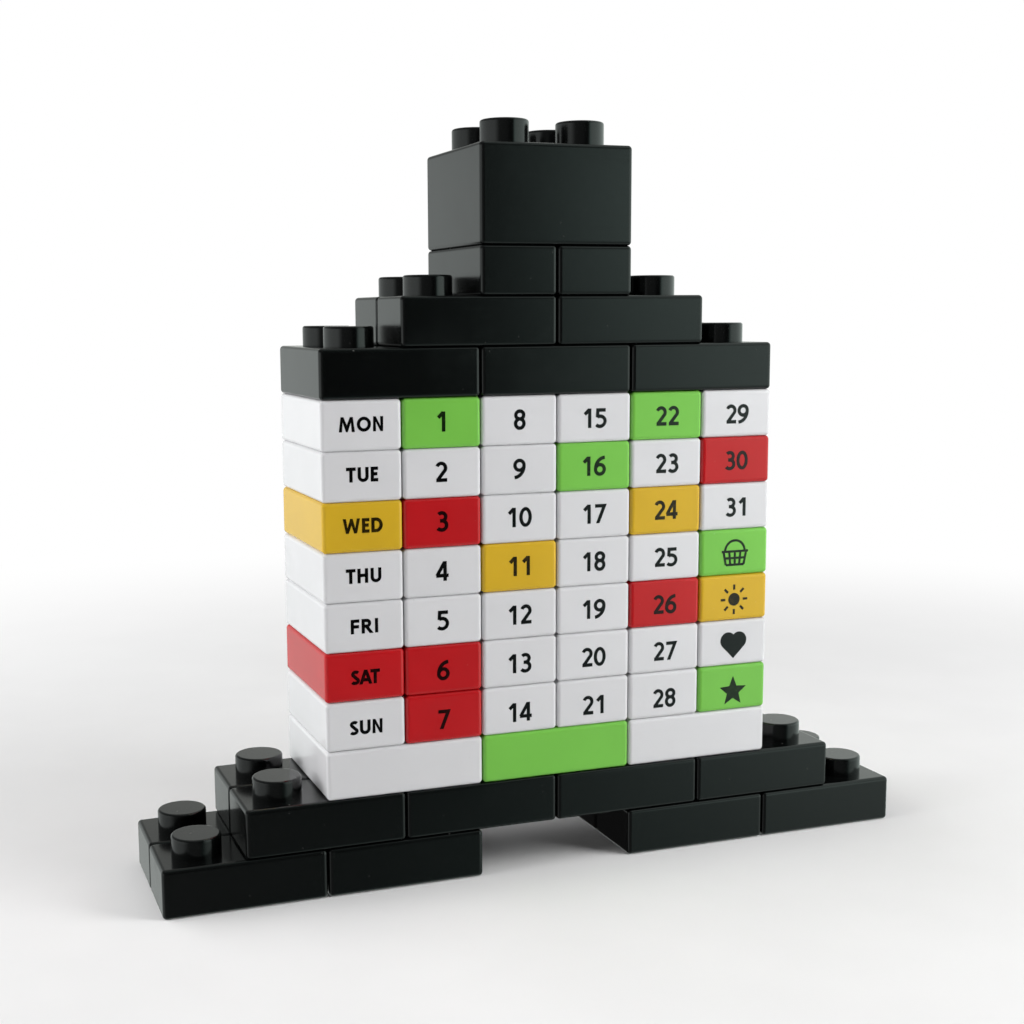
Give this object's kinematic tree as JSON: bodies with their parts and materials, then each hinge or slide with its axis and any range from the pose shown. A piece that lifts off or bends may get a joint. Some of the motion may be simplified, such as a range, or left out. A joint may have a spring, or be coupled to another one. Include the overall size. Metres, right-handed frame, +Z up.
{
  "type": "brick-built desk calendar",
  "caption": "Perpetual desk calendar of stacked studded plastic bricks: stepped feet, coloured day rows with weekday, date and event bricks, and a stepped black top.",
  "frame": {"origin": "on the surface that the feet stand on, under the middle of the calendar", "axes": "+X to the reader's right along the wall of bricks, +Y to the rear, +Z up"},
  "size_m": [0.1598, 0.0318, 0.1489],
  "materials": {
    "black_plastic": "glossy moulded plastic",
    "white_plastic": "glossy moulded plastic",
    "green_plastic": "glossy moulded plastic",
    "yellow_plastic": "glossy moulded plastic",
    "red_plastic": "glossy moulded plastic",
    "ink": "printed black ink"
  },
  "bodies": {
    "feet": {"left_foot_front_bricks": "black_plastic", "left_foot_rear_bricks": "black_plastic", "right_foot_front_bricks": "black_plastic", "right_foot_rear_bricks": "black_plastic"},
    "base": {"base_front_bricks": "black_plastic", "base_rear_bricks": "black_plastic"},
    "plinth": {"plinth_left": "white_plastic", "plinth_middle": "green_plastic", "plinth_right": "white_plastic"},
    "row_sun": {"weekday_sun": "white_plastic", "date_07": "red_plastic", "date_14": "white_plastic", "date_21": "white_plastic", "date_28": "white_plastic", "event_star": "green_plastic"},
    "row_sat": {"weekday_sat": "red_plastic", "date_06": "red_plastic", "date_13": "white_plastic", "date_20": "white_plastic", "date_27": "white_plastic", "event_birthday": "white_plastic"},
    "row_fri": {"weekday_fri": "white_plastic", "date_05": "white_plastic", "date_12": "white_plastic", "date_19": "white_plastic", "date_26": "red_plastic", "event_holiday": "yellow_plastic"},
    "row_thu": {"weekday_thu": "white_plastic", "date_04": "white_plastic", "date_11": "yellow_plastic", "date_18": "white_plastic", "date_25": "white_plastic", "event_shopping": "green_plastic"},
    "row_wed": {"weekday_wed": "yellow_plastic", "date_03": "red_plastic", "date_10": "white_plastic", "date_17": "white_plastic", "date_24": "yellow_plastic", "date_31": "white_plastic"},
    "row_tue": {"weekday_tue": "white_plastic", "date_02": "white_plastic", "date_09": "white_plastic", "date_16": "green_plastic", "date_23": "white_plastic", "date_30": "red_plastic"},
    "row_mon": {"weekday_mon": "white_plastic", "date_01": "green_plastic", "date_08": "white_plastic", "date_15": "white_plastic", "date_22": "green_plastic", "date_29": "white_plastic"},
    "header": {"header_left": "black_plastic", "header_middle": "black_plastic", "header_right": "black_plastic"},
    "shoulder": {"shoulder_front_bricks": "black_plastic", "shoulder_rear_bricks": "black_plastic"},
    "neck": {"neck_left": "black_plastic", "neck_right": "black_plastic"},
    "cap": {"cap_block": "black_plastic"}
  },
  "joints": [
    {"name": "base_lift", "type": "slide", "parent": "feet", "child": "base", "axis": [0, 0, 1], "range_m": [0, 0.012]},
    {"name": "plinth_lift", "type": "slide", "parent": "base", "child": "plinth", "axis": [0, 0, 1], "range_m": [0, 0.012]},
    {"name": "row_sun_lift", "type": "slide", "parent": "plinth", "child": "row_sun", "axis": [0, 0, 1], "range_m": [0, 0.012]},
    {"name": "row_sat_lift", "type": "slide", "parent": "row_sun", "child": "row_sat", "axis": [0, 0, 1], "range_m": [0, 0.012]},
    {"name": "row_fri_lift", "type": "slide", "parent": "row_sat", "child": "row_fri", "axis": [0, 0, 1], "range_m": [0, 0.012]},
    {"name": "row_thu_lift", "type": "slide", "parent": "row_fri", "child": "row_thu", "axis": [0, 0, 1], "range_m": [0, 0.012]},
    {"name": "row_wed_lift", "type": "slide", "parent": "row_thu", "child": "row_wed", "axis": [0, 0, 1], "range_m": [0, 0.012]},
    {"name": "row_tue_lift", "type": "slide", "parent": "row_wed", "child": "row_tue", "axis": [0, 0, 1], "range_m": [0, 0.012]},
    {"name": "row_mon_lift", "type": "slide", "parent": "row_tue", "child": "row_mon", "axis": [0, 0, 1], "range_m": [0, 0.012]},
    {"name": "header_lift", "type": "slide", "parent": "row_mon", "child": "header", "axis": [0, 0, 1], "range_m": [0, 0.012]},
    {"name": "shoulder_lift", "type": "slide", "parent": "header", "child": "shoulder", "axis": [0, 0, 1], "range_m": [0, 0.012]},
    {"name": "neck_lift", "type": "slide", "parent": "shoulder", "child": "neck", "axis": [0, 0, 1], "range_m": [0, 0.012]},
    {"name": "cap_lift", "type": "slide", "parent": "neck", "child": "cap", "axis": [0, 0, 1], "range_m": [0, 0.012]}
  ]
}
